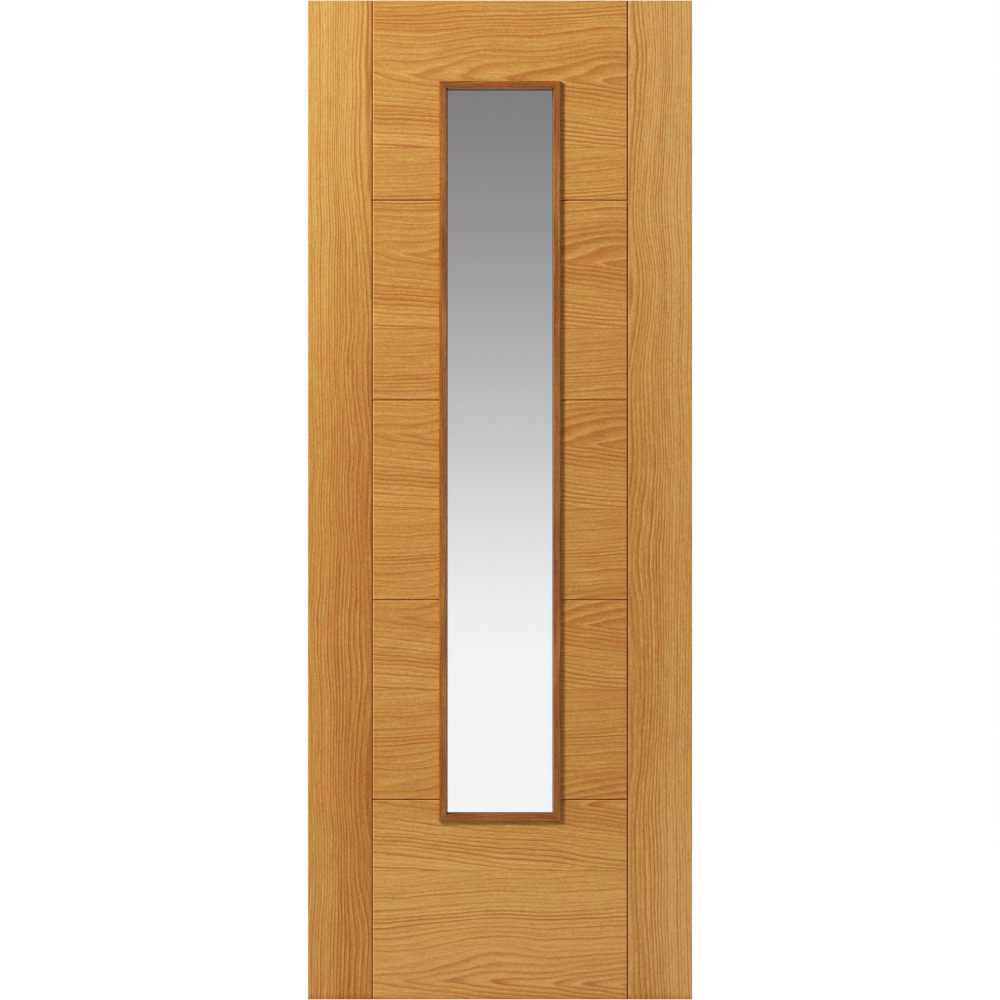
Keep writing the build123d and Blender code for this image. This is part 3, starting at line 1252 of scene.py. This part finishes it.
@dataclass
class Studio:
    """The floor, the lights and the camera."""

    low: Vector
    high: Vector
    face_y: float
    lens: float = 200.0
    sensor: float = 36.0
    clip_end: float = 200.0
    picture: float = 1000.0
    door_pixels: float = 999.06
    floor_radius: float = 5.0
    floor_sides: int = 96
    floor_roughness: float = 0.9
    floor_tones: tuple[Tone, Tone] = (Tone(184, 183, 181), Tone(176, 175, 173))
    floor_mottle: Fleck = Fleck((0.4, 0.4, 0.4), 1.0, 3.0)
    floor_glow: float = 1.26
    lamps: tuple[Lamp, ...] = (
        Lamp("key", way=(-9.0, -7.0, 7.5), distance=7.0, size=1.7, power=506.0),
        Lamp("back", way=(8.0, 7.0, 6.0), distance=7.0, size=2.4, power=210.0),
    )
    fill: float = 0.245
    fill_lean: float = 0.14
    fill_tone: tuple[float, float, float, float] = (1.0, 0.91, 0.90, 1.0)
    horizon: tuple[float, float] = (-0.031, 0.074)
    sky: tuple[tuple[float, Tone], ...] = (
        (0.00, Tone(246, 247, 249)), (0.09, Tone(240, 241, 243)), (0.254, Tone(223, 223, 225)),
        (0.50, Tone(187, 185, 186)), (0.75, Tone(153, 151, 152)), (0.90, Tone(138, 137, 135)),
        (1.00, Tone(130, 129, 127)))
    floor_shadow: float = 0.25

    @property
    def middle(self) -> Vector:
        """The middle of the leaf."""
        return (self.low + self.high) / 2

    def build_camera(self) -> None:
        """Stands a long lens square to the front, so that the leaf fills the picture's height."""
        distance = (self.high.z - self.low.z) * self.lens / self.sensor * self.picture / self.door_pixels
        data = bpy.data.cameras.new("camera")
        data.lens = self.lens
        data.sensor_width = self.sensor
        data.clip_end = self.clip_end
        camera = bpy.data.objects.new("camera", data)
        camera.location = (self.middle.x, self.face_y - distance, self.middle.z)
        camera.rotation_euler = (QUARTER_TURN, 0.0, 0.0)
        bpy.context.scene.collection.objects.link(camera)
        bpy.context.scene.camera = camera

    def build_floor(self) -> None:
        """Lays a pale floor that reads as white to the eye but still takes the leaf's shadow."""
        bpy.ops.object.select_all(action="DESELECT")
        bpy.ops.mesh.primitive_circle_add(
            vertices=self.floor_sides, radius=self.floor_radius, fill_type="NGON",
            location=(self.middle.x, 0.0, self.low.z))
        floor = bpy.context.object
        floor.name = "studio_floor"
        made, graph, surface = start_material("pale_floor")
        mottle = graph.fleck(graph.place(), self.floor_mottle)
        graph.coat(surface, graph.two_tone(mottle, *self.floor_tones), self.floor_roughness, 0.0)
        glow = graph.node("Emission", {"Color": WHITE, "Strength": self.floor_glow})
        share = graph.math("MULTIPLY", self.seen(graph), 1 - self.floor_shadow)
        mixed = graph.node("MixShader", {0: share, 1: surface.outputs[0], 2: glow.outputs[0]})
        output = next(node for node in graph.tree.nodes if node.type == "OUTPUT_MATERIAL")
        graph.tree.links.new(mixed.outputs[0], output.inputs["Surface"])
        floor.data.materials.append(made)
        floor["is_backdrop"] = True

    def seen(self, graph: Graph) -> Socket:
        """Tells the background that is looked at from the light that falls on the leaf.

        Args:
            graph: the graph of the floor or the world.

        Returns:
            One where a ray comes from the camera, a reflection or a pane of glass, and nought elsewhere.
        """
        path = graph.node("LightPath").outputs
        seen = graph.math("MAXIMUM", path["Is Glossy Ray"], path["Is Transmission Ray"])
        return graph.math("MAXIMUM", path["Is Camera Ray"], seen)

    def build_world(self) -> None:
        """Surrounds the leaf with a white background that greys above the horizon in glass and gloss.

        Its light on the leaf is a soft, slightly warm fill that leans to the right.
        """
        world = bpy.data.worlds.new("studio")
        world.use_nodes = True
        bpy.context.scene.world = world
        graph = Graph(world.node_tree)
        axes = graph.axes(graph.node("TexCoord").outputs["Generated"])
        low, high = self.horizon
        share = graph.math("DIVIDE", graph.math("SUBTRACT", axes["Z"], low), high - low)
        seen_sky = graph.ramp(share, self.sky)
        path = graph.node("LightPath").outputs
        seen = self.seen(graph)
        shown = graph.blend(path["Is Camera Ray"], seen_sky, WHITE)
        fill = graph.math("MULTIPLY_ADD", axes["X"], self.fill_lean, self.fill)
        sky = graph.node("Background", {"Color": graph.blend(seen, self.fill_tone, shown),
                                        "Strength": graph.choose(seen, fill, 1.0)})
        output = graph.node("OutputWorld")
        graph.tree.links.new(sky.outputs[0], output.inputs["Surface"])

    def build(self) -> None:
        """Sets up the camera, the floor, the background and the lamps."""
        bpy.context.scene.view_settings.view_transform = "Standard"
        self.build_camera()
        self.build_floor()
        self.build_world()
        for lamp in self.lamps:
            lamp.hang(self.middle)


def main() -> None:
    """Loads the leaf, finishes its pieces, adds the pins and sets up the studio."""
    logging.basicConfig(level=logging.INFO, format="%(name)s: %(message)s")
    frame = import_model()
    cad_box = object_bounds()
    nodes = frame["nodes"]
    Facings(nodes).dress()
    LeafCore(nodes).dress()
    glazing = Glazing(nodes)
    glazing.dress()
    for face in Face:
        glazing.build_pins(face)
    Studio(*cad_box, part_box("front_hinge_stile_facing")[0].y).build()


if __name__ == "__main__":
    main()
